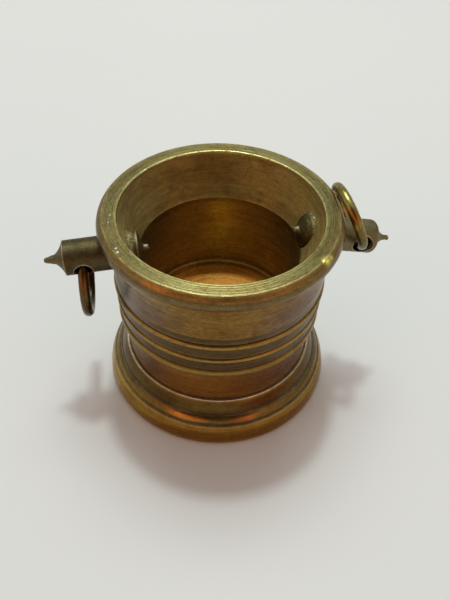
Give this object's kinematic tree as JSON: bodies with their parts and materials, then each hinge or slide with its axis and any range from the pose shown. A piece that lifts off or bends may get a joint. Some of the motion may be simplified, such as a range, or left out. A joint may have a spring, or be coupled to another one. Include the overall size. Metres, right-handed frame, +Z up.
{
  "type": "brass cup with ring lugs",
  "caption": "Small turned brass cup with a flared mouth, beaded drum and moulded foot; a cross-drilled rod lug with a loose wire ring on each side.",
  "frame": {"origin": "centre of the underside of the foot, on the cup's turning axis", "axes": "+Z up along the cup's turning axis, out of its mouth; the lugs lie along -X (left) and +X (right)"},
  "size_m": [0.0527, 0.0366, 0.0347],
  "materials": {
    "turned_brass": "lathe-turned, aged and half polished",
    "rod_brass": "dull, tarnished olive, as parted off",
    "solder": "rough braze, light specks",
    "wire_brass": "drawn wire, worn bright along its outside"
  },
  "bodies": {
    "cup": {"cup_body": "turned_brass", "left_lug": "rod_brass", "right_lug": "rod_brass", "left_solder": "solder", "right_solder": "solder"},
    "left_ring": {"left_ring": "wire_brass"},
    "right_ring": {"right_ring": "wire_brass"}
  },
  "joints": [
    {"name": "left_ring_swing", "type": "hinge", "parent": "cup", "child": "left_ring", "pos_m": [-0.02047, 0, 0.02602], "axis": [-0.0506, -0.9646, -0.2588], "range_deg": [-199, 17]},
    {"name": "right_ring_swing", "type": "hinge", "parent": "cup", "child": "right_ring", "pos_m": [0.02125, 0, 0.02536], "axis": [0.0696, -0.9951, 0.0698], "range_deg": [-228, 0]}
  ]
}
